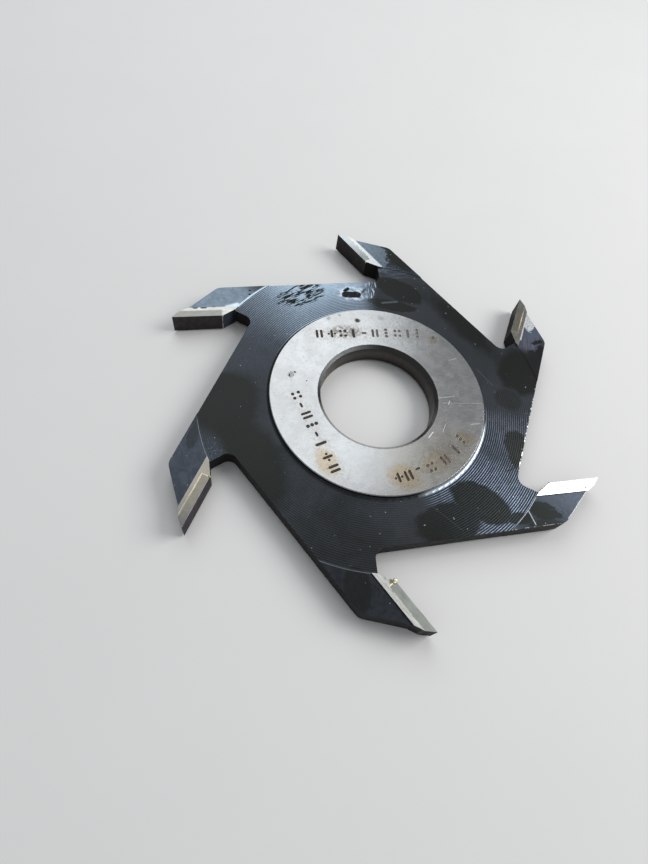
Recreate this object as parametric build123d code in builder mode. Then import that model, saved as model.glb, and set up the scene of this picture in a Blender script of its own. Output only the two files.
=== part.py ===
from build123d import *

import os
from math import cos, radians, sin, tan

# Grooving cutter for wood: a turned steel disc with six teeth, each with a brazed carbide tip.
# The cutter lies on the lower face of its hub. The bore's axis is +Z, the first tip points
# along +X, and seen from above the cutter turns anticlockwise.

os.makedirs("parts", exist_ok=True)

# Driving dimensions, in millimetres and degrees

# Whole cutter
tooth_count = 6
cutting_diameter = 125.0
cutting_width = 6.0
face_angle = 29.0             # between the cutting face and the radius through the tip

# Turned disc
bore_diameter = 32.0
bore_chamfer = 0.9
hub_diameter = 60.0
hub_thickness = 7.0
hub_edge_break = 0.2
hub_sweep_radius = 0.9        # concave sweep from the hub's side down to the web
web_thickness = 4.6
tooth_height = 13.5           # from the turned web's outer edge out to the tip's circle
shoulder_slope_width = 0.15
tooth_thickness = 5.0

# Milled outline
gullet_depth = 7.0            # from the web's outer edge in to the straight backs
gullet_offset = 10.0          # gullet's corner, measured behind the tip's radius
gullet_radius = 2.6
seat_length = 3.55            # steel under the tip's inner end, along the cutting face
seat_depth = 2.15             # how far that steel leans back from the cutting face
steel_drop = 0.4              # the steel lies this far under the tip's circle
steel_relief = 20.3
heel_radius = 3.0

# Carbide, braze and the ground land around them
carbide_length = 14.0
carbide_thickness = 2.0
carbide_relief = 15.0
braze_gap = 0.25
land_width = 3.25             # full-width band behind the cutting face, carbide included
side_relief = 0.6             # the land's two sides close in towards the axis

overrun = 5.0                 # how far cutting shapes reach past the metal

# Values that follow from the sizes above
tooth_pitch = 360.0 / tooth_count
tip_radius = cutting_diameter / 2
bore_radius = bore_diameter / 2
hub_radius = hub_diameter / 2
shoulder_radius = tip_radius - tooth_height
flat_distance = shoulder_radius - gullet_depth
hub_half = hub_thickness / 2
web_half = web_thickness / 2
tooth_half = tooth_thickness / 2
pocket_length = carbide_length + braze_gap
pocket_depth = carbide_thickness + braze_gap
section_plane = Plane(origin=(0, 0, hub_half), x_dir=(1, 0, 0), z_dir=(0, -1, 0))


def on_face(distance, depth):
    """Plan point of the first tooth: down the cutting face from the tip, then behind it."""
    turn = radians(face_angle)
    inward = distance * cos(turn) - depth * sin(turn)
    behind = distance * sin(turn) + depth * cos(turn)
    return (tip_radius - inward, -behind)


def relief_distance(depth, relief, drop=0.0):
    """Distance down the face at which a relief line reaches the given depth behind it."""
    turn = radians(face_angle)
    slope = tan(radians(relief))
    return (drop + depth * (sin(turn) + cos(turn) * slope)) / (cos(turn) - sin(turn) * slope)


def heel_point():
    """Where the steel's relief meets the straight back of the tooth."""
    turn = radians(tooth_pitch)
    slope = tan(radians(steel_relief))
    steel_radius = tip_radius - steel_drop
    behind = (flat_distance - steel_radius * cos(turn)) / (sin(turn) - slope * cos(turn))
    return (steel_radius - slope * behind, -behind)


# One tooth's corners, in order, each with the radius of its rounding
tooth_corners = [
    (heel_point(), heel_radius),
    (on_face(relief_distance(land_width, steel_relief, steel_drop), land_width), 0.0),
    (on_face(relief_distance(carbide_thickness, carbide_relief), carbide_thickness), 0.0),
    (on_face(0.0, 0.0), 0.0),
    (on_face(pocket_length, 0.0), 0.0),
    (on_face(pocket_length + seat_length, seat_depth), 0.0),
    ((flat_distance, -gullet_offset), gullet_radius),
]


def face_band(length, depth):
    """Closed outline of a band along the cutting face, open past the tip's circle."""
    Polyline(
        on_face(-overrun, 0.0),
        on_face(length, 0.0),
        on_face(length, depth),
        on_face(-overrun, depth),
        close=True,
    )


# Plan of the cutter, tooth after tooth, shared by the disc, the lands, the tips and the braze
with BuildSketch() as plan:
    with BuildLine():
        points = []
        roundings = []
        for number in range(tooth_count):
            for corner, rounding in tooth_corners:
                points.append(Vector(*corner).rotate(Axis.Z, number * tooth_pitch))
                roundings.append(rounding)
        FilletPolyline(*points, radius=roundings, close=True)
    make_face()

# Room between the two ground sides: full width at the tip, closing in towards the axis
with BuildPart() as ground_width:
    with BuildSketch(section_plane):
        with BuildLine():
            tip_half = cutting_width / 2
            axis_half = tip_half - tip_radius * tan(radians(side_relief))
            Polyline(
                (0, axis_half),
                (tip_radius, tip_half),
                (tip_radius, -tip_half),
                (0, -axis_half),
                close=True,
            )
        make_face()
    extrude(amount=tip_radius, both=True)

# Steel land of one tooth: the full-width band that backs the carbide
with BuildPart() as land:
    with BuildSketch():
        add(plan.sketch)
        with BuildLine():
            face_band(tip_radius, land_width)
        make_face(mode=Mode.INTERSECT)
        Circle(shoulder_radius, mode=Mode.SUBTRACT)
    extrude(amount=hub_thickness)
    add(ground_width.part, mode=Mode.INTERSECT)

# Turned disc with its milled outline, the lands and the pockets for the tips
with BuildPart() as cutter_body:
    with BuildSketch(section_plane):
        with BuildLine():
            Polyline(
                (bore_radius, 0),
                (bore_radius, hub_half - bore_chamfer),
                (bore_radius + bore_chamfer, hub_half),
                (hub_radius - hub_edge_break, hub_half),
                (hub_radius, hub_half - hub_edge_break),
                (hub_radius, web_half + hub_sweep_radius),
            )
            RadiusArc(
                (hub_radius, web_half + hub_sweep_radius),
                (hub_radius + hub_sweep_radius, web_half),
                -hub_sweep_radius,
            )
            Polyline(
                (hub_radius + hub_sweep_radius, web_half),
                (shoulder_radius - shoulder_slope_width, web_half),
                (shoulder_radius, tooth_half),
                (tip_radius, tooth_half),
                (tip_radius, 0),
            )
            mirror(about=Plane.XZ)
        make_face()
    revolve(axis=Axis.Z)
    with BuildSketch():
        add(plan.sketch)
    extrude(amount=hub_thickness, mode=Mode.INTERSECT)
    for number in range(tooth_count):
        add(land.part, rotation=(0, 0, number * tooth_pitch))
    for number in range(tooth_count):
        with BuildSketch(Plane.XY.rotated((0, 0, number * tooth_pitch))):
            with BuildLine():
                face_band(pocket_length, pocket_depth)
            make_face()
    extrude(amount=hub_thickness, mode=Mode.SUBTRACT)
cutter_body.part.label = "cutter_body"
export_step(cutter_body.part, "parts/cutter_body.step")

# Carbide tip of the first tooth
with BuildPart() as first_tip:
    with BuildSketch():
        add(plan.sketch)
        with BuildLine():
            face_band(carbide_length, carbide_thickness)
        make_face(mode=Mode.INTERSECT)
    extrude(amount=hub_thickness)
    add(ground_width.part, mode=Mode.INTERSECT)

# Braze of the first tooth: it fills the pocket behind and below the tip
with BuildPart() as first_seam:
    with BuildSketch():
        add(plan.sketch)
        with BuildLine():
            face_band(pocket_length, pocket_depth)
        make_face(mode=Mode.INTERSECT)
        with BuildLine():
            face_band(carbide_length, carbide_thickness)
        make_face(mode=Mode.SUBTRACT)
    extrude(amount=hub_thickness)
    add(ground_width.part, mode=Mode.INTERSECT)

# Six tips and six seams, one pitch apart
for number in range(tooth_count):
    with BuildPart() as carbide_tip:
        add(first_tip.part, rotation=(0, 0, number * tooth_pitch))
    carbide_tip.part.label = f"carbide_tip_{number + 1}"
    export_step(carbide_tip.part, f"parts/{carbide_tip.part.label}.step")
    with BuildPart() as braze_seam:
        add(first_seam.part, rotation=(0, 0, number * tooth_pitch))
    braze_seam.part.label = f"braze_seam_{number + 1}"
    export_step(braze_seam.part, f"parts/{braze_seam.part.label}.step")
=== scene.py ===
from math import cos, pi, radians, sin

import bmesh
import bpy
import numpy as np
from mathutils import Matrix, Vector


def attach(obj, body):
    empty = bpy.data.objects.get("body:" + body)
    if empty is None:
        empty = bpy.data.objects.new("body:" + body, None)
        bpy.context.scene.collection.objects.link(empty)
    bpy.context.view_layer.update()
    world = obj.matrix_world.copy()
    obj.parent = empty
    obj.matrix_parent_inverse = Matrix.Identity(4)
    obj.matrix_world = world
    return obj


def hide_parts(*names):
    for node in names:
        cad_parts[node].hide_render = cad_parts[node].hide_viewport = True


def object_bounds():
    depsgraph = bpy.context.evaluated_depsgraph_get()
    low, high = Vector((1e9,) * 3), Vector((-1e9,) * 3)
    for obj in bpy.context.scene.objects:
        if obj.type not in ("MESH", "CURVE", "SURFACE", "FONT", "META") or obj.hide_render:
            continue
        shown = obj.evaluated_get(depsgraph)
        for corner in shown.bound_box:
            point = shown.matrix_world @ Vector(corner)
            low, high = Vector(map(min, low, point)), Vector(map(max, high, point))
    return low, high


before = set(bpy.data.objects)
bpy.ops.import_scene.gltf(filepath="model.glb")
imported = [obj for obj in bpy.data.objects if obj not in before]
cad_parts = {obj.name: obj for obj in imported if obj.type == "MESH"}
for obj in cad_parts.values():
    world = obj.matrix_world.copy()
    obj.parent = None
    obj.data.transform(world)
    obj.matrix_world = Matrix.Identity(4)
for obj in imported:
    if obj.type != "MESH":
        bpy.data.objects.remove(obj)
CAD_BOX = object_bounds()
MM = 0.001

# Looks of a used grooving cutter: a dark steel body with a bright hub, and six brazed carbide tips.
# The cutter lies on its lower hub face, the bore's axis along Z and the first tip along +X.
# Places and sizes are in millimetres, directions in degrees from +X, and colours linear.

# Sizes of the cutter, the first two from the frame
TIP_R = round(CAD_BOX[1][0] / MM, 3)
HUB_TOP = round(CAD_BOX[1][2] / MM, 3)
MIDDLE = HUB_TOP / 2
WEB_TOP, LAND_TOP = 5.8, 6.46
WEB_HALF, TOOTH_HALF, HUB_HALF = 2.3, 2.5, HUB_TOP / 2
BORE_R, HUB_R, SWEEP_R, WEB_MIDDLE_R, SHOULDER_R = 16.0, 30.0, 30.9, 40.0, 49.0
HUB_BREAK = 0.2
FACE_ANGLE, TOOTH_PITCH = 29, 60

# Direction of each tooth's ground land, from the first tooth on
LAND_TURNS = (-5, 54, 114, 175, 235, 295)

# Radius to which the looks round sharp edges, and width of the wear and painted highlights on them
EDGE_ROUND, EDGE_WEAR = 0.12, 0.14


# Mesh helpers

def mesh_object(name, points, faces):
    """Object from points in millimetres."""
    mesh = bpy.data.meshes.new(name)
    mesh.from_pydata([[c * MM for c in p] for p in points], [], faces)
    mesh.validate()
    made = bpy.data.objects.new(name, mesh)
    bpy.context.scene.collection.objects.link(made)
    return made


def outward(obj):
    """Joins doubled points and turns every face outward, as cutting needs."""
    bm = bmesh.new()
    bm.from_mesh(obj.data)
    bmesh.ops.remove_doubles(bm, verts=bm.verts, dist=1e-8)
    bmesh.ops.recalc_face_normals(bm, faces=bm.faces)
    bm.to_mesh(obj.data)
    bm.free()


def cut(obj, cutter):
    """Cuts one closed mesh out of another, and deletes it."""
    outward(cutter)
    modifier = obj.modifiers.new("cut", "BOOLEAN")
    modifier.operation = "DIFFERENCE"
    modifier.solver = "MANIFOLD"
    modifier.object = cutter
    graph = bpy.context.evaluated_depsgraph_get()
    result = bpy.data.meshes.new_from_object(obj.evaluated_get(graph))
    obj.modifiers.clear()
    obj.data = result
    bpy.data.objects.remove(cutter)


def revolved(profile, steps):
    """Points and faces of a closed ring: a closed loop of (radius, height) turned about Z."""
    count = len(profile)
    points, faces = [], []
    for step in range(steps):
        turn = 2 * pi * step / steps
        points += [(r * cos(turn), r * sin(turn), z) for r, z in profile]
        here, there = step * count, (step + 1) % steps * count
        for i in range(count):
            j = (i + 1) % count
            faces.append((here + i, there + i, there + j, here + j))
    return points, faces


# Feed marks that the lathe left on the web

GROOVE_PITCH, GROOVE_DEPTH, CREST_WIDTH, FLANK_WIDTH = 0.573, 0.03, 0.08, 0.15
GROOVES_FROM, GROOVES_TO = SWEEP_R + 0.1, SHOULDER_R - 0.25
GROOVE_STEPS, GROOVE_CLEAR = 240, 0.1


def groove_ring(side):
    """Cutter for the grooves on one side of the web: 1 for the upper side, -1 for the lower."""
    count = round((GROOVES_TO - GROOVES_FROM) / GROOVE_PITCH)
    pitch = (GROOVES_TO - GROOVES_FROM) / count
    bottom, over = WEB_TOP - GROOVE_DEPTH, WEB_TOP + GROOVE_CLEAR
    # The flanks of two neighbouring grooves meet at a point over the crest between them
    peak = WEB_TOP + GROOVE_DEPTH * CREST_WIDTH / 2 / FLANK_WIDTH
    profile = [(GROOVES_FROM, over), (GROOVES_FROM, peak)]
    for n in range(count):
        start = GROOVES_FROM + n * pitch + CREST_WIDTH / 2
        end = GROOVES_FROM + (n + 1) * pitch - CREST_WIDTH / 2
        profile.append((start + FLANK_WIDTH, bottom))
        profile.append((end - FLANK_WIDTH, bottom))
        profile.append((end + CREST_WIDTH / 2, peak))
    profile.append((GROOVES_TO, over))
    loop = [(r, MIDDLE + side * (z - MIDDLE)) for r, z in profile]
    return mesh_object("grooves", *revolved(loop, GROOVE_STEPS))


# Punch marks

# How deep the hub's marks are, and how far a cutter reaches above a surface
MARK_DEPTH, HUB_CLEAR, LAND_CLEAR = 0.14, 0.05, 0.12

# A mark narrows as it goes down: its outline's share at the mouth, waist and bottom, and the waist's depth
MOUTH_SHARE, WAIST_SHARE, BOTTOM_SHARE, WAIST_DEPTH = 1.08, 0.72, 0.35, 0.6

# Plain strokes of each kind of mark, along its row and across it: (along, across, turn, length, width)
STROKES = {
    "bar": [(0, 0, 0, 2.4, 0.85)],
    "dash": [(0, 0, 90, 0.9, 0.65)],
    "bars": [(-0.65, 0, 0, 2.2, 0.75), (0.65, 0, 0, 2.2, 0.75)],
    "dots": [(0, 1.2, 0, 0, 1.1), (0, 0, 0, 0, 1.1), (0, -1.2, 0, 0, 1.1)],
    "pairs": [(u, v, 0, 0, 1.0) for u in (-0.7, 0.7) for v in (-0.85, 0.85)],
    "cross": [(0, 0, 0, 2.1, 0.75), (0.9, 0, 0, 0, 0.75), (-0.9, 0, 0, 0, 0.75)],
}

# Three rows of marks on the hub: (kind, x, y, direction of the row)
ROWS = [
    ("bars", -22.2, 12.4, 28), ("cross", -18.9, 14.0, 28), ("pairs", -16.0, 15.6, 27),
    ("bar", -13.2, 16.9, 26), ("dash", -10.4, 18.4, 26), ("bars", -7.4, 19.8, 25),
    ("dots", -4.4, 21.3, 25), ("pairs", -1.3, 22.7, 24), ("bar", 1.6, 24.0, 23), ("dots", 4.2, 25.3, 22),

    ("pairs", -20.4, -9.8, -43), ("dash", -18.1, -12.2, -43), ("bars", -15.6, -14.4, -44),
    ("dots", -13.3, -16.6, -44), ("dash", -11.2, -18.7, -44), ("bar", -9.2, -20.8, -44),
    ("cross", -6.3, -23.7, -44), ("bars", -3.6, -26.0, -44),

    ("dots", 24.7, -4.4, -119), ("bar", 24.2, -8.0, -121), ("bars", 22.3, -12.0, -125),
    ("pairs", 19.5, -15.6, -129), ("dash", 16.2, -17.5, -135), ("bars", 14.6, -20.2, -137),
    ("cross", 12.4, -21.8, -140),
]

# Single dents: (x, y, turn, length, width, depth)
HUB_DENTS = [
    (-24.6, -4.6, 20, 0.6, 0.4, 0.08),
    (-23.6, -3.0, 60, 0.3, 0.5, 0.08),
    (-13.7, 22.0, 0, 0, 1.2, 0.10),
    (-19.6, -4.3, 0, 0, 0.4, 0.08),
]

# Nicks in the back edge of the fourth tooth's land, given in the same way
LAND_NICKS = [
    (-58.2, 5.95, 119, 0.9, 0.6, 0.35),
    (-56.2, 7.1, 119, 1.2, 0.7, 0.4),
    (-53.6, 8.55, 119, 0.4, 0.3, 0.2),
]


def stadium(length, width):
    """Outline of a rounded bar about the origin, its length along Y. A dot has no length."""
    corners, shortest = 5, 0.01
    outline = []
    for end, first_turn in ((1, 0), (-1, pi)):
        for i in range(corners + 1):
            turn = pi * i / corners + first_turn
            outline.append((width / 2 * cos(turn), end * length / 2 + width / 2 * sin(turn)))
    before = outline[-1:] + outline[:-1]
    return [p for p, q in zip(outline, before) if (Vector(p) - Vector(q)).length > shortest]


def row_marks():
    """Every stroke of the three rows, placed on the hub."""
    marks = []
    for kind, x, y, turn in ROWS:
        along = Vector((cos(radians(turn)), sin(radians(turn))))
        across = Vector((-along.y, along.x))
        for u, v, more, length, width in STROKES[kind]:
            place = (x + along.x * u + across.x * v, y + along.y * u + across.y * v)
            marks.append((*place, turn + more, length, width, MARK_DEPTH))
    return marks


def punches(marks, top, clear):
    """One cutter for many marks in a surface at the height top: (x, y, turn, length, width, depth)."""
    points, faces = [], []
    for x, y, turn, length, width, depth in marks:
        outline = stadium(length, width)
        first, count = len(points), len(outline)
        cosine, sine = cos(radians(turn)), sin(radians(turn))
        section = ((clear, MOUTH_SHARE), (-WAIST_DEPTH * depth, WAIST_SHARE), (-depth, BOTTOM_SHARE))
        for height, share in section:
            for u, v in outline:
                # A long mark's ends draw in by as much as its sides do
                if abs(v) < width:
                    v = v * share
                else:
                    v = v - (1 - share) * width / 2 * (1 if v > 0 else -1)
                u = u * share
                points.append((x + u * cosine - v * sine, y + u * sine + v * cosine, top + height))
        for ring in (first, first + count):
            for i in range(count):
                j = (i + 1) % count
                faces.append((ring + i, ring + j, ring + count + j, ring + count + i))
        faces.append(tuple(first + i for i in range(count)))
        faces.append(tuple(first + 2 * count + i for i in reversed(range(count))))
    return mesh_object("punches", points, faces)


# The steel body

def steel_body():
    """The body with its grooves, punch marks and nicks."""
    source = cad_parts["cutter_body"].data
    points = [v.co / MM for v in source.vertices]
    steel = mesh_object("steel_body", points, [tuple(p.vertices) for p in source.polygons])
    outward(steel)
    for side in (1, -1):
        cut(steel, groove_ring(side))
    cut(steel, punches(row_marks() + HUB_DENTS, HUB_TOP, HUB_CLEAR))
    cut(steel, punches(LAND_NICKS, LAND_TOP, LAND_CLEAR))
    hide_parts("cutter_body")
    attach(steel, "root")
    return steel


# Node helpers

class Value:
    """A number in a node tree that can be added, multiplied and so on like any number."""

    def __init__(self, tree, socket):
        self.tree, self.socket = tree, socket

    def math(self, operation, *others):
        """Result of a Math node on this value and up to two others."""
        node = self.tree.nodes.new("ShaderNodeMath")
        node.operation = operation
        for slot, value in zip(node.inputs, (self, *others)):
            put(self.tree, value, slot)
        return Value(self.tree, node.outputs[0])

    def __add__(self, other):
        return self.math("ADD", other)

    def __sub__(self, other):
        return self.math("SUBTRACT", other)

    def __mul__(self, other):
        return self.math("MULTIPLY", other)

    def __truediv__(self, other):
        return self.math("DIVIDE", other)

    def ramp(self, low, high, start=0.0, end=1.0):
        """Smoothly from start, at low, to end, at high."""
        node = self.tree.nodes.new("ShaderNodeMapRange")
        node.interpolation_type = "SMOOTHSTEP"
        for slot, value in zip(node.inputs, (self, low, high, start, end)):
            put(self.tree, value, slot)
        return Value(self.tree, node.outputs[0])


def put(tree, value, slot):
    """Links a value to a socket, or sets it there."""
    if isinstance(value, Value):
        tree.links.new(value.socket, slot)
    elif isinstance(value, bpy.types.NodeSocket):
        tree.links.new(value, slot)
    elif slot.type == "RGBA":
        slot.default_value = (*value, 1)
    else:
        slot.default_value = value


def most(*values):
    """The largest of several values."""
    result = values[0]
    for value in values[1:]:
        result = result.math("MAXIMUM", value)
    return result


class Shader:
    """One material, with the places on the cutter that its pattern is made from.

    x, y and radius are a point's place, height its distance from the middle plane and turn its
    direction in radians. upper is 1 on the upper side, and flat is 1 on level faces.
    """

    def __init__(self, name):
        self.material = bpy.data.materials.new(name)
        self.material.use_nodes = True
        self.tree = self.material.node_tree
        self.surface = self.tree.nodes["Principled BSDF"]
        self.geometry = self.tree.nodes.new("ShaderNodeNewGeometry")
        place = self.tree.nodes.new("ShaderNodeVectorMath")
        place.operation = "SCALE"
        place.inputs["Scale"].default_value = 1 / MM
        source = self.tree.nodes.new("ShaderNodeTexCoord")
        self.tree.links.new(source.outputs["Object"], place.inputs[0])
        self.place = place.outputs[0]
        self.x, self.y, z = self.split(self.place)
        self.height = (z - MIDDLE).math("ABSOLUTE")
        self.upper = z.ramp(MIDDLE - 0.1, MIDDLE + 0.1)
        self.radius = (self.x * self.x + self.y * self.y).math("SQRT")
        self.turn = self.y.math("ARCTAN2", self.x)
        facing = self.split(self.geometry.outputs["True Normal"])
        self.flat = facing[2].math("ABSOLUTE").ramp(0.5, 0.9)

    def split(self, vector):
        """The three parts of a vector."""
        node = self.tree.nodes.new("ShaderNodeSeparateXYZ")
        self.tree.links.new(vector, node.inputs[0])
        return [Value(self.tree, socket) for socket in node.outputs]

    def vector(self, x, y, z):
        """A vector of three values."""
        node = self.tree.nodes.new("ShaderNodeCombineXYZ")
        for slot, value in zip(node.inputs, (x, y, z)):
            put(self.tree, value, slot)
        return node.outputs[0]

    def noise(self, size, seed, detail=3.0, rough=0.55, place=None, warp=0.0):
        """Noise whose features are about size millimetres across."""
        node = self.tree.nodes.new("ShaderNodeTexNoise")
        node.noise_dimensions = "4D"
        settings = {"W": seed, "Scale": 1 / size, "Detail": detail, "Roughness": rough,
                    "Distortion": warp, "Vector": place or self.place}
        for name, value in settings.items():
            put(self.tree, value, node.inputs[name])
        return Value(self.tree, node.outputs[0])

    def streaks(self, width, length, seed, turn, detail=3.0, rough=0.6):
        """Noise drawn out along one direction."""
        cosine, sine = cos(radians(turn)), sin(radians(turn))
        along = self.x * cosine + self.y * sine
        across = self.y * cosine - self.x * sine
        place = self.vector(along / length, across / width, 0.0)
        return self.noise(1.0, seed, detail, rough, place)

    def rings(self, width, length, seed, detail=3.0, rough=0.6):
        """Noise drawn out round the axis, its length true on the middle of the web."""
        share = WEB_MIDDLE_R / length
        place = self.vector(self.radius / width, self.x / self.radius * share, self.y / self.radius * share)
        return self.noise(1.0, seed, detail, rough, place)

    def blob(self, x, y, long, wide, turn=0.0, edge=0.12, ragged=0.5, size=3.0, seed=0.0):
        """1 inside an oval of the given half length and half width, and 0 outside.

        edge is the softness of its outline, and ragged and size say how uneven the outline is and
        how large its bays are.
        """
        cosine, sine = cos(radians(turn)), sin(radians(turn))
        dx, dy = self.x - x, self.y - y
        u = (dx * cosine + dy * sine) / long
        v = (dy * cosine - dx * sine) / wide
        distance = (u * u + v * v).math("SQRT") + (self.noise(size, seed, 3.0) - 0.5) * ragged
        return distance.ramp(1 - edge, 1 + edge, 1.0, 0.0)

    def strip(self, start, end, half, edge=0.3, ragged=0.0, size=1.0, seed=0.0):
        """1 on a straight line of the given half width, and 0 away from it."""
        (ax, ay), (bx, by) = start, end
        run = (bx - ax) ** 2 + (by - ay) ** 2
        dx, dy = self.x - ax, self.y - ay
        share = ((dx * (bx - ax) + dy * (by - ay)) / run).math("MAXIMUM", 0.0).math("MINIMUM", 1.0)
        u, v = dx - share * (bx - ax), dy - share * (by - ay)
        distance = (u * u + v * v).math("SQRT")
        if ragged:
            distance = distance + (self.noise(size, seed, 3.0) - 0.5) * ragged
        return distance.ramp(half * (1 - edge), half * (1 + edge), 1.0, 0.0)

    def sector(self, middle, half, soft):
        """1 in a sector about the axis, and 0 outside."""
        near = (self.turn - radians(middle)).math("COSINE")
        return near.ramp(cos(radians(half + soft)), cos(radians(max(half - soft, 0))))

    def on_land(self, tooth):
        """1 about the ground land of one tooth, and 0 about the others."""
        return self.sector(LAND_TURNS[tooth - 1], 22, 6)

    def band(self, inner, outer, soft=0.05):
        """1 between two radii."""
        inside = self.radius.ramp(outer - soft, outer + soft, 1.0, 0.0)
        return self.radius.ramp(inner - soft, inner + soft) * inside

    def mix(self, amount, under, over):
        """Colour from under, at 0, to over, at 1."""
        node = self.tree.nodes.new("ShaderNodeMix")
        node.data_type = "RGBA"
        # The sockets of a colour mix can only be told apart by number
        for slot, value in zip((0, 6, 7), (amount, under, over)):
            put(self.tree, value, node.inputs[slot])
        return node.outputs[2]

    def layers(self, base, *layers):
        """Colour: each layer is an amount and the colour that it lays over the ones before."""
        for amount, colour in layers:
            base = self.mix(amount, base, colour)
        return base

    def rounded(self, radius=EDGE_ROUND):
        """Normal of the surface with its sharp edges rounded."""
        node = self.tree.nodes.new("ShaderNodeBevel")
        node.samples = 6
        node.inputs["Radius"].default_value = radius * MM
        return node.outputs[0]

    def edges(self, width=EDGE_WEAR):
        """1 on the surface's sharp edges, and 0 on its faces."""
        node = self.tree.nodes.new("ShaderNodeVectorMath")
        node.operation = "DOT_PRODUCT"
        self.tree.links.new(self.rounded(width), node.inputs[0])
        self.tree.links.new(self.geometry.outputs["True Normal"], node.inputs[1])
        return Value(self.tree, node.outputs["Value"]).ramp(0.90, 0.985, 1.0, 0.0)

    def bump(self, height, depth, normal=None):
        """Relief of the given depth."""
        node = self.tree.nodes.new("ShaderNodeBump")
        node.inputs["Distance"].default_value = depth * MM
        put(self.tree, height, node.inputs["Height"])
        if normal is not None:
            self.tree.links.new(normal, node.inputs["Normal"])
        self.tree.links.new(node.outputs[0], self.surface.inputs["Normal"])

    def finish(self, **values):
        """Sets the surface's sockets by name, with _ for each space, and gives the material."""
        for name, value in values.items():
            put(self.tree, value, self.surface.inputs[name.replace("_", " ")])
        return self.material


# Blackened steel of the web and the teeth

def oil_film(paint):
    """Dark patches of oil and soot."""
    return most(
        # On the left and lower part of the web
        paint.blob(-37, -19, 9, 10, seed=5, edge=0.2),
        paint.blob(-24, -31, 15, 7, -42, seed=6, edge=0.3),
        paint.blob(4, -41, 13, 6, 10, seed=7, edge=0.35, ragged=0.9) * 0.45,
        # Between the first and the sixth tooth
        paint.blob(34.2, -19.4, 8.6, 4.9, -8, seed=8, ragged=0.35, size=2.0),
        paint.blob(27.6, -28.2, 8.6, 5.4, 32, seed=9, ragged=0.4, size=2.0),
        # Along the straight back of the second tooth, and up to that tooth
        paint.blob(39.6, 1.4, 3.0, 4.0, 12, seed=10, ragged=0.7, size=1.6),
        paint.blob(40.4, -2.6, 2.0, 2.9, 14, seed=11, ragged=0.9, size=1.0),
        paint.strip((39.0, -7.9), (41.4, -5.2), 0.25, 0.4, 0.5, 0.6, 90) * 0.8,
        paint.blob(35, 15, 4.0, 3.4, seed=12, ragged=0.25, edge=0.2) * 0.6,
        paint.blob(37, 26.5, 7.5, 8.5, seed=13, edge=0.2),
        paint.blob(41.5, 34.2, 2.0, 4.6, seed=14, ragged=1.3, size=0.9),
        paint.blob(39.6, 39.4, 1.9, 0.7, 40, seed=49, ragged=1.5, size=0.6),
        paint.blob(38.6, 34.6, 1.2, 1.0, 40, seed=88, ragged=1.5, size=0.6),
        # Above the hub
        paint.blob(16, 36, 15, 3.6, -30, seed=15, edge=0.5, ragged=0.9),
        paint.blob(-5.5, 40.5, 8.0, 4.0, -8, seed=16, size=2.5),
        paint.blob(-6, 33.5, 7.5, 2.0, 12, seed=17, size=1.5),
        # On and beside the first, third, fifth and sixth teeth
        paint.blob(50.1, -15.2, 3.6, 2.5, 8, seed=18, ragged=0.7, size=1.0),
        paint.blob(51.0, -18.4, 4.4, 1.0, 26, seed=84, ragged=0.8, size=1.0) * 0.8,
        paint.blob(53.2, -15.0, 1.8, 0.9, 10, seed=19, ragged=1.0, size=0.6),
        paint.blob(44.5, -19.6, 3.4, 1.6, 24, seed=20, size=1.2),
        paint.blob(-9.5, 53.4, 6.0, 3.0, -34, seed=21, ragged=1.2, size=1.0),
        paint.blob(11.5, -51.5, 5.0, 3.2, -60, seed=22) * 0.8,
        paint.blob(-40, -31.5, 1.4, 3.6, 12, seed=23, ragged=0.6, size=1.4) * 0.7,
    )


def black_scraps(paint):
    """Scraps of the old black coat where the web is rubbed, and black specks on the fourth tooth."""
    return most(
        paint.streaks(0.55, 3.4, 25, 56, 2.0).ramp(0.47, 0.52)
        * paint.blob(-33, 24.8, 7.8, 4.0, 47, seed=26, ragged=0.8, size=1.5),
        paint.strip((-20.4, 31.2), (-17.2, 32.8), 1.25, 0.10, 0.7, 0.5, 27)
        * paint.streaks(0.3, 1.5, 89, 24).ramp(0.28, 0.42, 0.35, 1.0),
        paint.strip((-21.2, 32.6), (-20.6, 33.8), 0.55, 0.2, 0.7, 0.6, 28),
        paint.blob(-15.9, 35.0, 0.45, 1.6, -10, seed=29, size=0.4, ragged=1.4) * 0.7,
        paint.blob(-46.6, 18.0, 0.35, 0.35),
        paint.blob(-47.2, 19.4, 0.4, 0.3),
        paint.blob(-58.45, 6.0, 0.8, 0.3, 29),
        paint.blob(-56.35, 7.15, 0.9, 0.32, 29),
    )


def scratches_and_shoulder_highlight(paint):
    """The shoulder's line, worn and painted bright as a highlight in some stretches, scratches and bright
    specks.
    """
    # Painted highlight: the line along the shoulder, bright only in the stretches below
    line = (paint.radius - (SHOULDER_R - 0.02)).math("ABSOLUTE").ramp(0.06, 0.24, 1.0, 0.0)
    stretches = most(
        paint.sector(222, 9, 3) * 0.35,
        paint.sector(276, 12, 3) * 0.35,
        paint.sector(-19, 7, 3) * 0.8,
    )
    scratches = most(
        paint.strip((46.2, -16.7), (48.7, -19.7), 0.14) * 0.5,
        paint.strip((24.0, 21.5), (30.0, 17.5), 0.10) * 0.10,
        paint.strip((-9.0, 33.2), (-5.0, 35.6), 0.3, 0.8) * 0.16,
        paint.strip((22.2, -25.2), (31.5, -28.5), 0.10) * 0.04,
    )
    specks = paint.noise(0.4, 33, 0.0).ramp(0.84, 0.87) * paint.flat
    return most(line * paint.flat * stretches, scratches * paint.upper, specks * 0.7)


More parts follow.
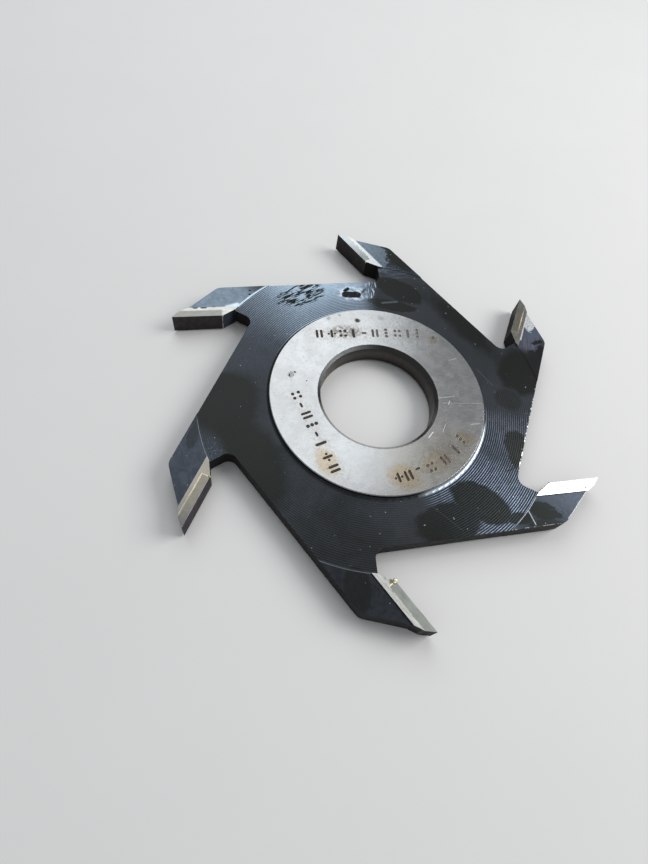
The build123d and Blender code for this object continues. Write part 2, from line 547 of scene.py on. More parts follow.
def bright_edges(paint):
    """Worn edges of the first tooth and of the straight back beside it, painted white as highlights."""
    return most(
        paint.strip((60.2, -5.1), (57.3, -12.9), 0.07) * paint.noise(1.6, 86, 2.0).ramp(0.36, 0.5, 0.4, 0.75),
        paint.strip((57.3, -12.9), (56.5, -14.6), 0.06) * 0.5,
        paint.strip((55.0, -16.85), (42.0, -24.3), 0.13, 0.5) * paint.noise(0.8, 79, 2.0).ramp(0.50, 0.58),
        paint.strip((41.88, -7.0), (41.88, 22.0), 0.12, 0.5) * paint.noise(0.7, 80, 2.0).ramp(0.50, 0.58),
    )


def worn_and_highlighted_edges(paint):
    """Sharp edges rubbed bright here and there, apart from the shoulder, and painted as highlights on the
    sides where they catch the lamps.
    """
    off_shoulder = paint.band(SHOULDER_R - 0.5, SHOULDER_R + 0.3).ramp(0, 1, 1, 0)
    # Sides on which the edges are painted bright as highlights as well as worn
    stretches = most(
        paint.sector(5, 46, 8),
        paint.sector(150, 22, 6) * 0.8,
        paint.sector(255, 50, 6) * 0.25,
    )
    return paint.edges() * paint.noise(1.1, 36, 3.0).ramp(0.44, 0.60) * off_shoulder * stretches


def shoulder_glint(paint):
    """Painted highlight: a bright line on the shoulder of the fourth tooth."""
    line = (paint.radius - (SHOULDER_R + 0.25)).math("ABSOLUTE").ramp(0.1, 0.45, 0.8, 0.0)
    outer = paint.radius.ramp(SHOULDER_R - 0.1, SHOULDER_R)
    return most(line * paint.sector(160, 9, 3),
                paint.strip((-50.2, 10.6), (-48.2, 12.6), 0.75, 0.7) * outer)


def bare_patch(paint):
    """Bare metal on the second tooth, beside its seam."""
    return most(
        paint.blob(35.8, 47.2, 1.9, 4.4, 6, seed=41, ragged=0.9, size=0.9)
        * paint.streaks(0.3, 2.5, 42, 60).ramp(0.30, 0.42),
        paint.strip((34.5, 50.6), (34.45, 38.2), 0.30, 0.5),
    )


def crest_light(paint):
    """Stretches of the web on which the crests between the grooves get a painted highlight."""
    return most(
        paint.sector(-28, 14, 12),
        paint.sector(-8, 9, 6) * 0.35,
        paint.sector(4, 6, 9) * 0.5,
        paint.sector(160, 12, 8) * 0.25,
    )


def tooth_tones(paint, wisps):
    """Layers of colour on the teeth: all of them, then the sixth, fourth, first, third and second. The sixth,
    first and third are darkened as painted shade, and the fourth and third lit by a painted sheen.
    """
    outer = paint.radius.ramp(SHOULDER_R - 0.1, SHOULDER_R)
    third_face_sheen = (paint.blob(-20.3, 52.8, 9.4, 5.2, -42, seed=37, size=1.1, edge=0.06, ragged=1.5)
                  * paint.x.ramp(-30, -12, 1.0, 0.55) * paint.noise(0.9, 38, 3.0).ramp(0.3, 0.6, 0.7, 1.0))
    third_rub = (paint.streaks(0.45, 4.5, 43, 22).ramp(0.42, 0.6)
                 * paint.blob(-10.5, 46.4, 6.0, 2.6, 20, seed=44, edge=0.4))
    second_face = (paint.blob(37.6, 40.0, 3.0, 7.6, -12, seed=39, size=1.5, edge=0.4)
                   * paint.streaks(0.45, 5.0, 40, 104).ramp(0.35, 0.65, 0.35, 1.0))
    second_spot = paint.blob(37.4, 42.6, 1.8, 2.6, -25, seed=78, edge=0.5, size=1.0)
    return (
        (outer, paint.mix(wisps.ramp(0.3, 0.7), (0.036, 0.042, 0.052), (0.052, 0.060, 0.074))),
        # Painted shade: the sixth tooth darker
        (paint.sector(285, 17, 3) * outer,
         paint.mix(wisps.ramp(0.35, 0.65), (0.019, 0.022, 0.025), (0.030, 0.034, 0.040))),
        # Painted sheen: the fourth tooth lighter and bluer
        (paint.sector(172, 14, 4) * outer,
         paint.mix(wisps.ramp(0.3, 0.7), (0.120, 0.150, 0.180), (0.165, 0.210, 0.255))),
        # Painted shade: the first tooth darker towards -Y
        (paint.sector(-12, 14, 4) * outer,
         paint.mix(paint.y.ramp(-19, -7), (0.020, 0.024, 0.030), (0.052, 0.062, 0.080))),
        # Painted shade: the third tooth darker
        (paint.sector(106, 12, 3) * outer * 0.7, (0.020, 0.023, 0.026)),
        # Painted sheen: bright blue on the third tooth's face
        (third_face_sheen * 0.95, (0.21, 0.26, 0.315)),
        (third_rub * 0.9, (0.082, 0.097, 0.118)),
        (second_face * 0.9, (0.15, 0.15, 0.20)),
        (second_spot * 0.8, (0.10, 0.135, 0.18)),
    )


def web_tones(paint, wisps, web, crest, oil):
    """Layers of colour on the web: rubbed and lit by a painted sheen on one side, dark with oil on others,
    lighter or darker by direction as painted sheen and shade, and with painted highlights on the crests
    between the grooves.
    """
    # Painted sheen: the side of the web that faces the window, rubbed there as well, is made lighter and
    # bluer, palest towards the teeth
    rubbed = paint.turn.ramp(radians(107), radians(117)) * paint.sector(133, 19, 20)
    palest_sheen = rubbed * paint.radius.ramp(31, 45) * paint.sector(128, 12, 18)
    halo = (paint.blob(-18.8, 32.6, 4.6, 2.7, 24, seed=30, ragged=0.8, size=0.8, edge=0.3)
            * wisps.ramp(0.4, 0.6))
    scrapes = (paint.streaks(0.35, 2.5, 93, 112).ramp(0.5, 0.62)
               * paint.blob(-14.2, 37.0, 1.9, 4.2, 12, seed=94, size=1.0))
    strokes = paint.rings(0.35, 5.0, 24, 3.0).ramp(0.35, 0.7, 0.75, 1.2)
    # Painted highlights on the crests between the grooves, faint under oil
    bright_lines = (crest_light(paint) * crest * oil.ramp(0, 1, 1.0, 0.08) * strokes
                    * wisps.ramp(0.3, 0.6, 0.6, 1.0))
    thick = paint.x.ramp(20, 28) * paint.y.ramp(-5, -15)
    dry = oil.ramp(0, 1, 1.0, 0.0)
    return (
        # Painted sheen: lighter and bluer about 178 degrees
        (paint.sector(178, 9, 14) * web * 0.6, (0.040, 0.047, 0.056)),
        # Painted sheen on the side of the web that faces the window
        (rubbed * wisps.ramp(0.2, 0.8, 0.75, 1.0) * web,
         paint.mix(palest_sheen, (0.095, 0.125, 0.158), (0.33, 0.43, 0.52))),
        (halo * 0.8 * paint.upper, (0.55, 0.62, 0.70)),
        (scrapes * web * 0.8 * paint.upper, (0.42, 0.52, 0.62)),
        # Painted sheen: lighter about 62 and -52 degrees
        (paint.sector(62, 34, 16) * web * 0.5, (0.046, 0.050, 0.055)),
        (paint.sector(-52, 12, 8) * web * 0.4, (0.042, 0.045, 0.050)),
        (oil * 0.90 * paint.upper, paint.mix(thick, (0.0165, 0.0180, 0.0158), (0.0100, 0.0115, 0.0098))),
        # Painted shade: darker about -22 degrees, away from the oil
        (paint.sector(-22, 22, 14) * web * 0.6 * dry, (0.017, 0.021, 0.029)),
        # Painted highlights on the crests
        (bright_lines, (0.27, 0.34, 0.45)),
        # Painted highlights on the crests on the sheen side
        (rubbed * crest * 0.5, (0.52, 0.62, 0.72)),
    )


def dark_steel():
    """Blackened steel, worn and stained, with painted sheen, shade and highlights."""
    paint = Shader("dark_steel")
    cloud = paint.noise(11.0, 1, 4.0, warp=0.8)
    wisps = paint.noise(3.5, 2, 4.0, warp=2.0)
    grain = paint.noise(0.35, 3, 2.0)
    fine = paint.rings(0.12, 6.0, 4, 2.0)
    web = paint.band(SWEEP_R - 0.1, SHOULDER_R - 0.1) * paint.flat
    crest = paint.height.ramp(WEB_HALF - 0.01, WEB_HALF - 0.0005) * web
    oil = oil_film(paint)
    bare = bare_patch(paint)
    hair = paint.streaks(0.10, 9.0, 32, 35, 2.0).ramp(0.70, 0.78) * 0.2
    pale = paint.blob(-34.0, -33.5, 5.0, 2.6, -45, seed=85, edge=0.6)
    glitter = (paint.noise(0.26, 34, 1.0).ramp(0.56, 0.70)
               * paint.blob(-32.5, -34.0, 4.5, 2.6, -35, seed=35, edge=0.6))
    # Painted highlight: the fillet round the hub bright on the side towards the lamps
    sweep_highlight = (paint.band(HUB_R - 0.1, SWEEP_R + 0.12) * paint.sector(-22, 26, 6)
             * paint.height.ramp(WEB_HALF, WEB_HALF + 0.04))
    colour = paint.layers(
        paint.mix(cloud.ramp(0.35, 0.65), (0.024, 0.026, 0.028), (0.034, 0.037, 0.042)),
        *tooth_tones(paint, wisps),
        *web_tones(paint, wisps, web, crest, oil),
        (black_scraps(paint) * paint.upper, (0.008, 0.010, 0.0095)),
        (hair * paint.flat, (0.10, 0.11, 0.13)),
        (pale * 0.6 * paint.upper, (0.036, 0.042, 0.052)),
        (glitter * 0.6, (0.13, 0.165, 0.20)),
        (shoulder_glint(paint) * paint.flat * paint.upper, (0.50, 0.60, 0.68)),
        (bare * paint.upper,
         paint.mix(paint.noise(0.5, 87, 3.0).ramp(0.35, 0.6), (0.62, 0.65, 0.67), (0.98, 0.99, 0.99))),
        (scratches_and_shoulder_highlight(paint), (0.40, 0.43, 0.47)),
        # Worn edges, also painted bright as highlights on the sides that face the lamps
        (worn_and_highlighted_edges(paint) * 0.6, (0.42, 0.42, 0.42)),
        # Painted highlights on the worn edges of the first tooth and the straight back
        (bright_edges(paint) * paint.upper * paint.flat * 0.9, (0.74, 0.74, 0.74)),
        (sweep_highlight, (0.62, 0.68, 0.72)),
    )
    gloss = paint.layers(
        grain.ramp(0.3, 0.7, 0.33, 0.45).socket,
        (oil * paint.upper, (0.36, 0.36, 0.36)),
        (bare, (0.3, 0.3, 0.3)),
    )
    paint.bump(fine * 0.5 + grain * 0.5, 0.006, paint.rounded())
    return paint.finish(Base_Color=colour, Metallic=0.9, Roughness=gloss)


def milled_wall():
    """Milled walls of the outline, black with soot and oil, their sharp edges rubbed bright and painted as
    highlights on the sides that face the lamps, with a painted bluish sheen on the fourth tooth's seat.
    """
    paint = Shader("milled_wall")
    cloud = paint.noise(2.0, 45, 4.0)
    cuts = paint.noise(1.0, 46, 2.0, place=paint.vector(paint.x / 0.5, paint.y / 0.5, paint.height / 6.0))
    # Sides on which the edges are painted bright as highlights as well as worn
    stretches = most(
        paint.sector(5, 46, 8),
        paint.sector(150, 22, 6),
        paint.sector(255, 50, 6) * 0.3,
    )
    worn = paint.edges() * paint.noise(0.9, 47, 3.0).ramp(0.46, 0.62) * stretches
    # Painted sheen: bluish on the wall of the fourth tooth's seat
    seat_sheen = paint.sector(172, 4, 2) * paint.radius.ramp(SHOULDER_R - 0.5, SHOULDER_R + 1)
    colour = paint.layers(
        paint.mix(cloud.ramp(0.35, 0.65), (0.006, 0.0065, 0.008), (0.011, 0.0105, 0.0105)),
        (cuts.ramp(0.55, 0.75) * 0.3, (0.018, 0.017, 0.017)),
        (seat_sheen * 0.7, (0.05, 0.06, 0.085)),
        (worn * 0.8, (0.38, 0.38, 0.38)),
    )
    paint.bump(cuts * 0.5 + cloud * 0.5, 0.01, paint.rounded())
    return paint.finish(Base_Color=colour, Specular_IOR_Level=0.1, Roughness=cloud.ramp(0.3, 0.7, 0.45, 0.6))


# Ground steel of the hub, its marks and the bore

def hub_rows(paint):
    """Grime about the three rows of punch marks."""
    return most(
        paint.strip((-22, 12.6), (-10, 18.6), 2.4, 0.6, 3.0, 1.2, 58),
        paint.strip((-8, 19.6), (4, 25.4), 2.4, 0.6, 3.0, 1.2, 59) * 0.6,
        paint.strip((-20.6, -10), (-2, -27), 2.1, 0.6, 3.0, 1.2, 60) * 0.8,
        paint.strip((25, -4.8), (12.5, -22), 3.0, 0.6, 3.0, 1.5, 61),
    )


def hub_rust(paint):
    """Brown stains beside the punch marks."""
    return most(
        paint.blob(-6, -25, 4.0, 2.6, -40, seed=62, size=1.0, edge=0.4),
        paint.blob(13.8, -21, 4.2, 3.2, seed=63, size=1.0, edge=0.4),
        paint.blob(20.5, -13.5, 4.8, 2.8, 50, seed=64, size=1.0, edge=0.5) * 0.6,
        paint.blob(26, -3.4, 2.4, 1.7, seed=65, size=0.8, edge=0.4) * 0.7,
        paint.blob(9.2, 25.0, 1.3, 1.6, seed=66, size=0.8, edge=0.4) * 0.7,
    )


def hub_spots(paint):
    """Small dark spots."""
    return most(
        paint.blob(-13.7, 22.0, 0.95, 0.8, seed=71, size=0.7),
        paint.blob(-19.3, 21.6, 0.6, 0.5, seed=72, edge=0.5) * 0.5,
        paint.blob(-21.8, 19.0, 0.5, 0.7, seed=73, edge=0.5) * 0.6,
        paint.blob(9.0, 25.8, 0.4, 0.5, seed=74, size=0.6),
        paint.blob(-24.3, -4.2, 0.9, 1.0, seed=75, ragged=1.4, size=0.6) * 0.8,
        paint.blob(-7.5, 26.0, 1.0, 0.8, seed=76, edge=0.6) * 0.4,
    )


def hub_nicks(paint):
    """Short bright scratches."""
    return most(
        paint.strip((19.0, 5.0), (19.1, 6.2), 0.14),
        paint.strip((15.6, 5.7), (20.0, 8.3), 0.08) * 0.6,
        paint.strip((17.5, 4.8), (27.8, 9.3), 0.07) * 0.5,
        paint.strip((26.4, 1.4), (28.6, 2.6), 0.10) * 0.7,
        paint.strip((16.6, -7.4), (17.2, -5.4), 0.12),
        paint.strip((19.7, -4.2), (19.8, -1.6), 0.08) * 0.8,
        paint.strip((15.4, 19.8), (17.4, 21.4), 0.10) * 0.5,
    )


def ground_steel():
    """Bright ground steel of the hub's faces, darker by direction as painted shade, with a painted highlight
    on the rim and a painted dark reflection in the bore's chamfer.
    """
    paint = Shader("ground_steel")
    cloud = paint.noise(4.0, 51, 4.0, warp=0.5)
    mottle = paint.noise(0.8, 52, 4.0, 0.65)
    grind = paint.streaks(0.14, 2.6, 53, 33)
    long = paint.streaks(0.10, 9.0, 54, 24, 2.0).ramp(0.66, 0.76) * paint.x.ramp(6, 16)
    arcs = paint.rings(0.10, 16.0, 55, 2.0).ramp(0.64, 0.74) * paint.x.ramp(4, 14)
    upright = paint.streaks(0.16, 2.2, 56, 97, 3.0).ramp(0.50, 0.70) * paint.blob(2.5, 23.5, 6.5, 7, seed=57)
    rows, brown = hub_rows(paint), hub_rust(paint)
    soot = (paint.blob(-15.6, 16.4, 4.6, 2.2, 27, seed=67, size=0.9, ragged=0.9, edge=0.4)
            * mottle.ramp(0.38, 0.55))
    smut = most(rows, brown) * paint.noise(1.0, 68, 4.0, 0.65).ramp(0.45, 0.62)
    pits = (paint.noise(0.34, 69, 1.0).ramp(0.66, 0.72)
            * most(rows, brown, paint.blob(-25.5, 12, 2.5, 3, seed=70)) * paint.upper)
    # Painted highlight along the rim, on the side about 130 degrees
    rim_highlight = paint.radius.ramp(HUB_R - 0.3, HUB_R - 0.1)
    # Painted dark reflection in the bore's chamfer, on the side about 60 degrees
    mouth_dark_reflection = paint.radius.ramp(BORE_R + 0.95, BORE_R + 0.85, 0.0, 1.0)
    colour = paint.layers(
        paint.mix(cloud.ramp(0.35, 0.65), (0.37, 0.37, 0.365), (0.44, 0.445, 0.445)),
        (mottle.ramp(0.5, 0.72) * paint.x.ramp(-15, 10, 0.55, 0.3), (0.26, 0.26, 0.25)),
        (grind.ramp(0.50, 0.32) * 0.4, (0.29, 0.29, 0.285)),
        (paint.blob(2, 24, 9, 7, seed=77, edge=0.5) * mottle.ramp(0.4, 0.6) * 0.5, (0.30, 0.30, 0.29)),
        (grind.ramp(0.52, 0.72) * paint.y.ramp(0, -12, 0.3, 0.8), (0.57, 0.58, 0.58)),
        (most(long, arcs) * 0.35, (0.60, 0.60, 0.60)),
        (upright * 0.7, (0.60, 0.60, 0.59)),
        # Painted shade: the hub darker on its +X side
        (paint.sector(0, 70, 30) * paint.upper * 0.35, (0.27, 0.265, 0.25)),
        (paint.sector(-35, 28, 18) * paint.upper * 0.35, (0.36, 0.33, 0.27)),
        (smut * 0.55 * paint.upper, (0.26, 0.225, 0.17)),
        (brown * 0.6 * paint.upper, (0.33, 0.25, 0.14)),
        (soot * 0.75 * paint.upper, (0.10, 0.09, 0.075)),
        (hub_spots(paint) * 0.8 * paint.upper, (0.07, 0.068, 0.06)),
        (pits * 0.8, (0.06, 0.048, 0.035)),
        # Painted shade: darker about 213 and 75 degrees
        (paint.sector(213, 24, 18) * 0.35 * paint.upper, (0.30, 0.30, 0.295)),
        (paint.sector(75, 30, 20) * 0.25 * paint.upper, (0.28, 0.28, 0.275)),
        (hub_nicks(paint) * paint.upper, (0.86, 0.86, 0.86)),
        (mouth_dark_reflection * paint.sector(60, 62, 22), (0.055, 0.053, 0.05)),
        (rim_highlight * paint.sector(130, 75, 10) * 0.6, (0.85, 0.86, 0.86)),
    )
    gloss = (cloud * 0.3 + grind * 0.7).ramp(0.3, 0.7, 0.17, 0.27)
    paint.bump(grind * 0.5 + mottle * 0.5, 0.005, paint.rounded())
    return paint.finish(Base_Color=colour, Metallic=1.0, Roughness=gloss)


def bore_steel():
    """Wall of the bore: dull with old grease, lighter about the middle of its length as a painted reflection,
    and rubbed along its length here and there.
    """
    paint = Shader("bore_steel")
    share = 40.0
    around = (paint.x / paint.radius * share, paint.y / paint.radius * share)
    rubs = paint.noise(1.0, 101, 3.0, place=paint.vector(*around, paint.height / 4.0))
    cloud = paint.noise(2.5, 102, 4.0)
    colour = paint.layers(
        # Painted reflection: lighter about the middle, darker towards both faces
        paint.mix(paint.height.ramp(0.4, 2.4), (0.085, 0.076, 0.070), (0.038, 0.036, 0.035)),
        (rubs.ramp(0.55, 0.75) * 0.35, (0.15, 0.14, 0.13)),
        (cloud.ramp(0.55, 0.7) * 0.4, (0.05, 0.044, 0.040)),
    )
    paint.bump(rubs * 0.4 + cloud * 0.6, 0.006, paint.rounded())
    return paint.finish(Base_Color=colour, Metallic=0.9, Roughness=cloud.ramp(0.3, 0.7, 0.28, 0.42))


def punched_rust():
    """Bottoms of the punch marks, filled with rust and old grease."""
    paint = Shader("punched_rust")
    cloud = paint.noise(0.5, 61, 3.0)
    colour = paint.layers(
        paint.mix(cloud.ramp(0.4, 0.6), (0.022, 0.017, 0.013), (0.060, 0.045, 0.032)),
        (paint.sector(85, 28, 6), (0.13, 0.12, 0.115)),
        (paint.sector(-25, 18, 8) * cloud.ramp(0.35, 0.6), (0.16, 0.13, 0.10)),
    )
    paint.bump(cloud, 0.02)
    return paint.finish(Base_Color=colour, Metallic=0.1, Roughness=cloud.ramp(0.3, 0.7, 0.6, 0.85))


# Ground sides, carbide and braze

def along_face(paint, width, length, seed):
    """Grinding marks along the cutting edge of each tooth. Opposite teeth share a direction."""
    turns = [FACE_ANGLE + TOOTH_PITCH * n for n in range(3)]
    first, second, third = (paint.streaks(width, length, seed + n, turn) for n, turn in enumerate(turns))
    near_second = most(paint.sector(54, 26, 4), paint.sector(234, 26, 4))
    near_third = most(paint.sector(114, 26, 4), paint.sector(294, 26, 4))
    return first + (second - first) * near_second + (third - first) * near_third


def side_colour(paint, cloud, low, high, third, fourth, sixth):
    """Ground side of a tooth's edge, with a cast of its own on each tooth that paints in the light and
    reflections it catches there.

    Steel and carbide are told apart by low and high, the two tones of clean metal, and by the casts
    of the third, fourth and sixth tooth.
    """
    return paint.layers(
        paint.mix(cloud.ramp(0.35, 0.65), low, high),
        (paint.on_land(5) * 0.75,
         paint.mix(paint.radius.ramp(57, 62), (0.175, 0.150, 0.112), (0.100, 0.092, 0.085))),
        (paint.on_land(2) * 0.75,
         paint.mix(paint.radius.ramp(58, 62), (0.165, 0.150, 0.118), (0.17, 0.18, 0.17))),
        (paint.on_land(4) * 0.7, fourth),
        # Painted reflection: pale blue towards the tip of the third tooth
        (paint.on_land(3) * 0.75, paint.mix(paint.radius.ramp(51, 61) * 0.8, third, (0.62, 0.67, 0.70))),
        # Painted reflections: the sixth tooth lighter, and the first near white
        (paint.on_land(6) * 0.7, sixth),
        (paint.on_land(1), (0.78, 0.79, 0.79)),
    )


def ground_land():
    """Ground sides of the steel lands, and the dark walls behind them."""
    paint = Shader("ground_land")
    grind = along_face(paint, 0.22, 3.0, 111)
    cloud = paint.noise(1.4, 112, 4.0)
    spots = most(
        paint.blob(59.7, -4.2, 0.4, 0.25, 40),
        paint.blob(-58.3, 5.9, 0.75, 0.3, 29),
        paint.blob(-56.2, 7.05, 0.85, 0.3, 29),
    )
    # Painted shadow beside the sixth tooth's bead of braze
    bead_shadow = paint.blob(18.2, -47.2, 0.5, 0.7, seed=113, size=0.6, edge=0.4)
    side = paint.layers(
        side_colour(
            paint, cloud, low=(0.38, 0.385, 0.36), high=(0.50, 0.505, 0.48),
            third=(0.50, 0.53, 0.54), fourth=(0.40, 0.38, 0.34), sixth=(0.74, 0.74, 0.69)),
        # Painted highlights: grinding streaks bright on the third and fourth teeth
        (grind.ramp(0.5, 0.7) * paint.sector(145, 50, 8) * 0.8, (0.80, 0.82, 0.83)),
        (grind.ramp(0.5, 0.75) * 0.25, (0.6, 0.6, 0.59)),
        (grind.ramp(0.45, 0.3) * 0.35, (0.20, 0.19, 0.16)),
        (cloud.ramp(0.60, 0.70) * 0.25, (0.22, 0.20, 0.15)),
        (paint.edges() * 0.5, (0.75, 0.75, 0.74)),
        (spots * paint.upper, (0.03, 0.03, 0.03)),
        (paint.blob(60.6, -3.7, 0.35, 0.2) * paint.upper, (0.55, 0.45, 0.20)),
        (bead_shadow * paint.upper * 0.8, (0.13, 0.11, 0.07)),
    )
    colour = paint.mix(paint.flat, (0.030, 0.033, 0.040), side)
    paint.bump(grind, 0.004, paint.rounded(0.08))
    return paint.finish(Base_Color=colour, Metallic=1.0, Roughness=grind.ramp(0.3, 0.7, 0.26, 0.38))


def carbide():
    """Tungsten carbide: ground pale on its sides, dull and dark on the cutting face, with a painted
    reflection on the fifth tooth's cutting face.
    """
    paint = Shader("carbide")
    cloud = paint.noise(1.3, 121, 4.0)
    grind = along_face(paint, 0.22, 3.0, 122)
    side = paint.layers(
        side_colour(
            paint, cloud, low=(0.235, 0.25, 0.225), high=(0.33, 0.345, 0.315),
            third=(0.20, 0.215, 0.22), fourth=(0.20, 0.195, 0.17), sixth=(0.34, 0.355, 0.325)),
        # Painted highlights: grinding streaks bright on the third tooth
        (grind.ramp(0.52, 0.7) * paint.sector(120, 25, 8) * 0.8, (0.75, 0.78, 0.80)),
        (grind.ramp(0.5, 0.75) * 0.25, (0.42, 0.43, 0.41)),
        (grind.ramp(0.45, 0.3) * 0.35, (0.13, 0.125, 0.105)),
        (cloud.ramp(0.60, 0.70) * 0.25, (0.17, 0.16, 0.12)),
    )
    tone = cloud.ramp(0.35, 0.65)
    face = paint.layers(
        paint.mix(tone, (0.040, 0.037, 0.038), (0.056, 0.051, 0.053)),
        # Painted reflection: the fifth tooth's cutting face lighter
        (paint.sector(235, 25, 5) * 0.9, paint.mix(tone, (0.13, 0.118, 0.140), (0.19, 0.175, 0.20))),
    )
    colour = paint.layers(paint.mix(paint.flat, face, side), (paint.edges(0.12) * 0.4, (0.55, 0.55, 0.54)))
    paint.bump(grind, 0.004, paint.rounded(0.06))
    return paint.finish(Base_Color=colour, Metallic=1.0, Specular_Tint=(0.4, 0.4, 0.4),
                        Roughness=grind.ramp(0.3, 0.7, 0.28, 0.42))


def braze():
    """Brazing alloy, golden where it is ground and dull where it isn't, with a painted glint on the fourth
    tooth's seam end and a painted highlight on the third tooth's seam.
    """
    paint = Shader("braze")
    cloud = paint.noise(0.6, 81, 4.0)
    gold = paint.mix(cloud.ramp(0.35, 0.65), (0.48, 0.39, 0.22), (0.74, 0.63, 0.42))
    pale = paint.mix(cloud.ramp(0.35, 0.65), (0.34, 0.33, 0.28), (0.52, 0.51, 0.47))
    second, third, fifth = (paint.on_land(tooth) for tooth in (2, 3, 5))
    dull = second * paint.blob(33.2, 45.4, 2.0, 3.6, edge=0.3).ramp(0, 1, 1, 0)
    ground = paint.layers(
        pale,
        (most(fifth, second), gold),
        (dull * 0.85, (0.17, 0.15, 0.11)),
        (fifth * paint.radius.ramp(54.5, 58.5) * 0.7, (0.24, 0.22, 0.17)),
        (paint.sector(292, 12, 4) * paint.radius.ramp(52.5, 51.5), (0.88, 0.80, 0.56)),
        # Painted highlight: the third tooth's seam brighter
        (third * cloud.ramp(0.4, 0.55), (0.90, 0.85, 0.66)),
    )
    # Painted glint on the front end of the fourth tooth's seam
    end_glint = paint.sector(172, 10, 4) * paint.height.ramp(-0.5, 1.2)
    end = paint.mix(end_glint, (0.028, 0.026, 0.022), (0.40, 0.39, 0.35))
    colour = paint.mix(paint.flat, end, ground)
    paint.bump(cloud, 0.02)
    return paint.finish(Base_Color=colour, Metallic=1.0, Roughness=cloud.ramp(0.3, 0.7, 0.35, 0.55))


# Which material each face of the body wears

BODY_MATERIALS = (dark_steel, ground_steel, bore_steel, ground_land, punched_rust, milled_wall)
DARK, HUB, BORE, LAND, PUNCHED, WALL = range(6)

# Faces are told apart by the place of their middle, with this much slack
SLACK = 0.01
MARKS_FROM, MARKS_TO = BORE_R + 1.5, HUB_R - 0.4
SUNK, LAND_RISE = 0.005, 0.03
UPRIGHT = 0.3
SMOOTH_ANGLE = 28


def body_part(face):
    """Number of the material that a face wears."""
    middle = face.center / MM
    radius, high = Vector(middle[:2]).length, abs(middle[2] - MIDDLE)
    if radius < BORE_R + SLACK:
        return BORE
    if radius < HUB_R + SLACK and (high > HUB_HALF - HUB_BREAK - SLACK or radius < MARKS_FROM):
        in_mark = high < HUB_HALF - SUNK and MARKS_FROM < radius < MARKS_TO
        return PUNCHED if in_mark else HUB
    if radius > SWEEP_R and abs(face.normal.z) < UPRIGHT:
        return WALL
    if radius > SHOULDER_R and high > TOOTH_HALF + LAND_RISE:
        return LAND
    return DARK


def dress_body(body):
    """Gives each face of the body its material, and keeps its edges sharp."""
    body.data.materials.clear()
    for make in BODY_MATERIALS:
        body.data.materials.append(make())
    for face in body.data.polygons:
        face.material_index = body_part(face)
    body.data.shade_smooth()
    body.data.set_sharp_from_angle(angle=radians(SMOOTH_ANGLE))


def dress_tips(carbide_material, braze_material):
    """Gives the tips and the seams of the frame their materials."""
    for name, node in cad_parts.items():
        if name != "cutter_body":
            node.data.materials.clear()
            node.data.materials.append(carbide_material if name.startswith("carbide") else braze_material)


# Beads of braze

# Where a bead lies on the first tooth: down the cutting face, and behind it
BEAD_DISTANCE, BEAD_DEPTH = 14.2, 0.15
BEAD_FLATNESS, BEAD_SWELL, BEAD_WAVES = 0.8, 0.10, 5

# For each tooth: height over the middle plane, and radius
BEADS = {1: (2.6, 0.30), 2: (2.5, 0.28), 3: (2.6, 0.26), 4: (2.5, 0.30), 5: (2.75, 0.42), 6: (2.75, 0.62)}


def bead_place(tooth, lift):
    """Middle of a bead, worked out on the first tooth and turned to its own."""
    turn = radians(FACE_ANGLE)
    inward = BEAD_DISTANCE * cos(turn) - BEAD_DEPTH * sin(turn)
    behind = BEAD_DISTANCE * sin(turn) + BEAD_DEPTH * cos(turn)
    spin = Matrix.Rotation(radians(TOOTH_PITCH * (tooth - 1)), 3, "Z")
    return spin @ Vector((TIP_R - inward, -behind, MIDDLE + lift))


def bead(tooth, lift, radius, material):
    """Uneven bead of braze at the inner end of a tip."""
    middle, flat = bead_place(tooth, lift), radius * BEAD_FLATNESS
    bm = bmesh.new()
    bmesh.ops.create_icosphere(bm, subdivisions=3, radius=1.0)
    rng = np.random.default_rng(tooth)
    waves = [(Vector(rng.normal(size=3)), rng.uniform(0, 6)) for _ in range(BEAD_WAVES)]
    for v in bm.verts:
        v.co = v.co * (1 + BEAD_SWELL * sum(sin(2.2 * v.co.dot(axis) + phase) for axis, phase in waves))
    points = [middle + Vector((v.co.x * radius, v.co.y * radius, v.co.z * flat)) for v in bm.verts]
    faces = [[v.index for v in f.verts] for f in bm.faces]
    bm.free()
    made = mesh_object(f"braze_bead_{tooth}", points, faces)
    made.data.shade_smooth()
    made.data.materials.append(material)
    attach(made, "root")


# Floor, light and camera

FLOOR_HALF, LIGHT_DISTANCE, AIM_HEIGHT = 900, 700, 4

# Where the photograph was taken from, and which way the camera is turned about X, Y and Z
CAMERA_PLACE, CAMERA_TURNS = (0.0567, -83.7865, 127.3659), (28.45780, -6.66371, 20.42466)
LENS, SENSOR_WIDTH, NEAREST = 22.0626, 36.0, 10


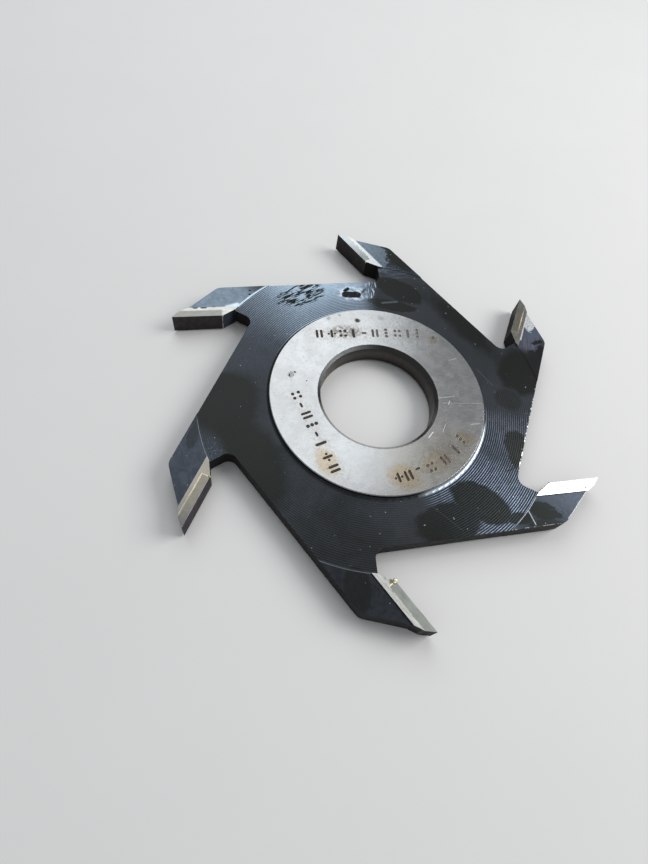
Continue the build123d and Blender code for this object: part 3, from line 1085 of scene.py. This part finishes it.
def pale_floor():
    """Plain pale floor under the cutter."""
    corners = [(x * FLOOR_HALF, y * FLOOR_HALF, 0) for x, y in ((-1, -1), (1, -1), (1, 1), (-1, 1))]
    floor = mesh_object("floor", corners, [(0, 1, 2, 3)])
    paint = Shader("floor_paint")
    colour = paint.mix(paint.noise(30.0, 91, 3.0), (0.70, 0.69, 0.67), (0.73, 0.72, 0.70))
    floor.data.materials.append(paint.finish(Base_Color=colour, Roughness=0.7))


def soft_light(name, azimuth, elevation, side, power, colour=(1, 1, 1)):
    """Square soft light that looks at the cutter."""
    data = bpy.data.lights.new(name, "AREA")
    data.shape = "SQUARE"
    data.size = side * MM
    data.energy = power
    data.color = colour
    lamp = bpy.data.objects.new(name, data)
    around, up = radians(azimuth), radians(elevation)
    way = Vector((cos(around) * cos(up), sin(around) * cos(up), sin(up)))
    lamp.location = way * LIGHT_DISTANCE * MM
    aim = Vector((0, 0, AIM_HEIGHT * MM))
    lamp.rotation_euler = (lamp.location - aim).to_track_quat("Z", "Y").to_euler()
    bpy.context.scene.collection.objects.link(lamp)


def plain_world():
    """Even cool light from all sides."""
    world = bpy.data.worlds.new("studio")
    world.use_nodes = True
    background = world.node_tree.nodes["Background"]
    background.inputs["Color"].default_value = (0.92, 0.95, 1.0, 1)
    background.inputs["Strength"].default_value = 0.42
    bpy.context.scene.world = world


def photo_camera():
    """Camera that sees the cutter as the photograph does."""
    lens = bpy.data.cameras.new("camera")
    lens.sensor_width = SENSOR_WIDTH
    lens.lens = LENS
    lens.clip_start = NEAREST * MM
    camera = bpy.data.objects.new("camera", lens)
    camera.location = Vector(CAMERA_PLACE) * MM
    camera.rotation_euler = [radians(turn) for turn in CAMERA_TURNS]
    bpy.context.scene.collection.objects.link(camera)
    bpy.context.scene.camera = camera


dress_body(steel_body())
carbide_material, braze_material = carbide(), braze()
dress_tips(carbide_material, braze_material)
for tooth, (lift, radius) in BEADS.items():
    bead(tooth, lift, radius, braze_material)

pale_floor()
soft_light("key", azimuth=28, elevation=42, side=400, power=3.0)
soft_light("window", azimuth=124, elevation=52, side=560, power=1.7, colour=(0.92, 0.96, 1.0))
plain_world()
bpy.context.scene.view_settings.view_transform = "Standard"
photo_camera()
